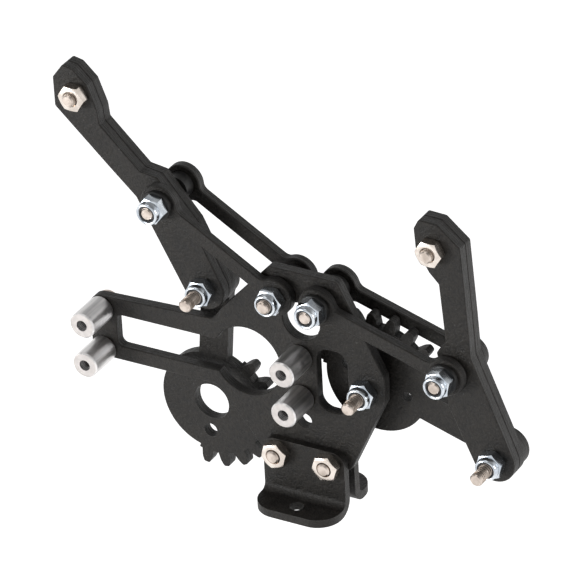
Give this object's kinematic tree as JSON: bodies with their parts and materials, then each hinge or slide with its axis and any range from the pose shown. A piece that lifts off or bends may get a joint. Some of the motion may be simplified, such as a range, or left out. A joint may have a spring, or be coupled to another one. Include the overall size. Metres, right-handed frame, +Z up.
{
  "type": "robot claw gripper",
  "caption": "Flat plate robot claw gripper with a forked servo plate, gear sector arms, four bar links and two bent fingers on a small mounting bracket.",
  "frame": {"origin": "centre of the hole in the front bracket's flange, on the flange's underside", "axes": "+X toward the viewer's right, from the servo fork to the right finger; +Y away from the viewer, from the front of the palm plate to the gears; +Z up, from the bracket to the fingertips"},
  "size_m": [0.1086, 0.0217, 0.0955],
  "materials": {
    "black_plate": "fine textured matte black coating",
    "turned_post": "bright turned",
    "zinc_lock_nut": "bluish zinc plate",
    "nickel_nut": "warm nickel plate",
    "bolt_steel": "nickel plate",
    "spacer": "black nylon"
  },
  "bodies": {
    "palm": {"palm_plate": "black_plate", "front_bracket": "black_plate", "rear_bracket": "black_plate", "bracket_bolts": "bolt_steel", "bracket_nuts": "nickel_nut", "servo_posts": "turned_post", "post_screws": "bolt_steel", "gear_pivot_bolt": "bolt_steel", "gear_pivot_nut": "zinc_lock_nut", "gear_pivot_spacer": "spacer", "link_pivot_bolts": "bolt_steel", "link_pivot_nuts": "zinc_lock_nut", "link_pivot_spacers": "spacer", "link_pivot_washer": "zinc_lock_nut"},
    "right_gear": {"right_gear": "black_plate"},
    "right_links": {"right_front_link": "black_plate", "right_back_link": "black_plate"},
    "right_finger": {"right_finger_front_plate": "black_plate", "right_finger_back_plate": "black_plate", "right_arm_bolt": "bolt_steel", "right_arm_nut": "zinc_lock_nut", "right_arm_washer": "spacer", "right_link_bolt": "bolt_steel", "right_link_nut": "zinc_lock_nut", "right_link_spacer": "spacer", "right_link_washer": "zinc_lock_nut", "right_tip_bolt": "bolt_steel", "right_tip_nut": "nickel_nut"},
    "left_links": {"left_front_link": "black_plate", "left_back_link": "black_plate"},
    "left_finger": {"left_finger_front_plate": "black_plate", "left_finger_back_plate": "black_plate", "left_arm_bolt": "bolt_steel", "left_arm_nut": "zinc_lock_nut", "left_arm_washer": "spacer", "left_link_bolt": "bolt_steel", "left_link_nut": "zinc_lock_nut", "left_link_spacer": "spacer", "left_link_washer": "zinc_lock_nut", "left_tip_bolt": "bolt_steel", "left_tip_nut": "nickel_nut"},
    "left_gear": {"left_gear": "black_plate"}
  },
  "joints": [
    {"name": "right_gear_turn", "type": "hinge", "parent": "palm", "child": "right_gear", "pos_m": [0.015, 0.0074, 0.0314], "axis": [0, -1, 0], "range_deg": [-6, 104]},
    {"name": "right_finger_turn", "type": "hinge", "parent": "right_gear", "child": "right_finger", "pos_m": [0.04544, 0.0074, 0.02186], "axis": [0, -1, 0], "range_deg": [-104, 6]},
    {"name": "right_links_turn", "type": "hinge", "parent": "palm", "child": "right_links", "pos_m": [0.0051, 0.0074, 0.0509], "axis": [0, -1, 0], "range_deg": [-6, 104]},
    {"name": "left_links_turn", "type": "hinge", "parent": "palm", "child": "left_links", "pos_m": [-0.0051, 0.0074, 0.0509], "axis": [0, 1, 0], "range_deg": [-0.5, 15]},
    {"name": "left_finger_turn", "type": "hinge", "parent": "left_links", "child": "left_finger", "pos_m": [-0.0324, 0.0074, 0.06741], "axis": [0, 1, 0], "range_deg": [-1.5, 18]},
    {"name": "left_gear_turn", "type": "hinge", "parent": "left_finger", "child": "left_gear", "pos_m": [-0.0238, 0.0074, 0.0473], "axis": [0, 1, 0], "range_deg": [-3, 90]}
  ],
  "couplings": [
    {"joint": "right_finger_turn", "follows": "right_gear_turn", "ratio": -1},
    {"joint": "right_links_turn", "follows": "right_gear_turn", "ratio": 1}
  ]
}
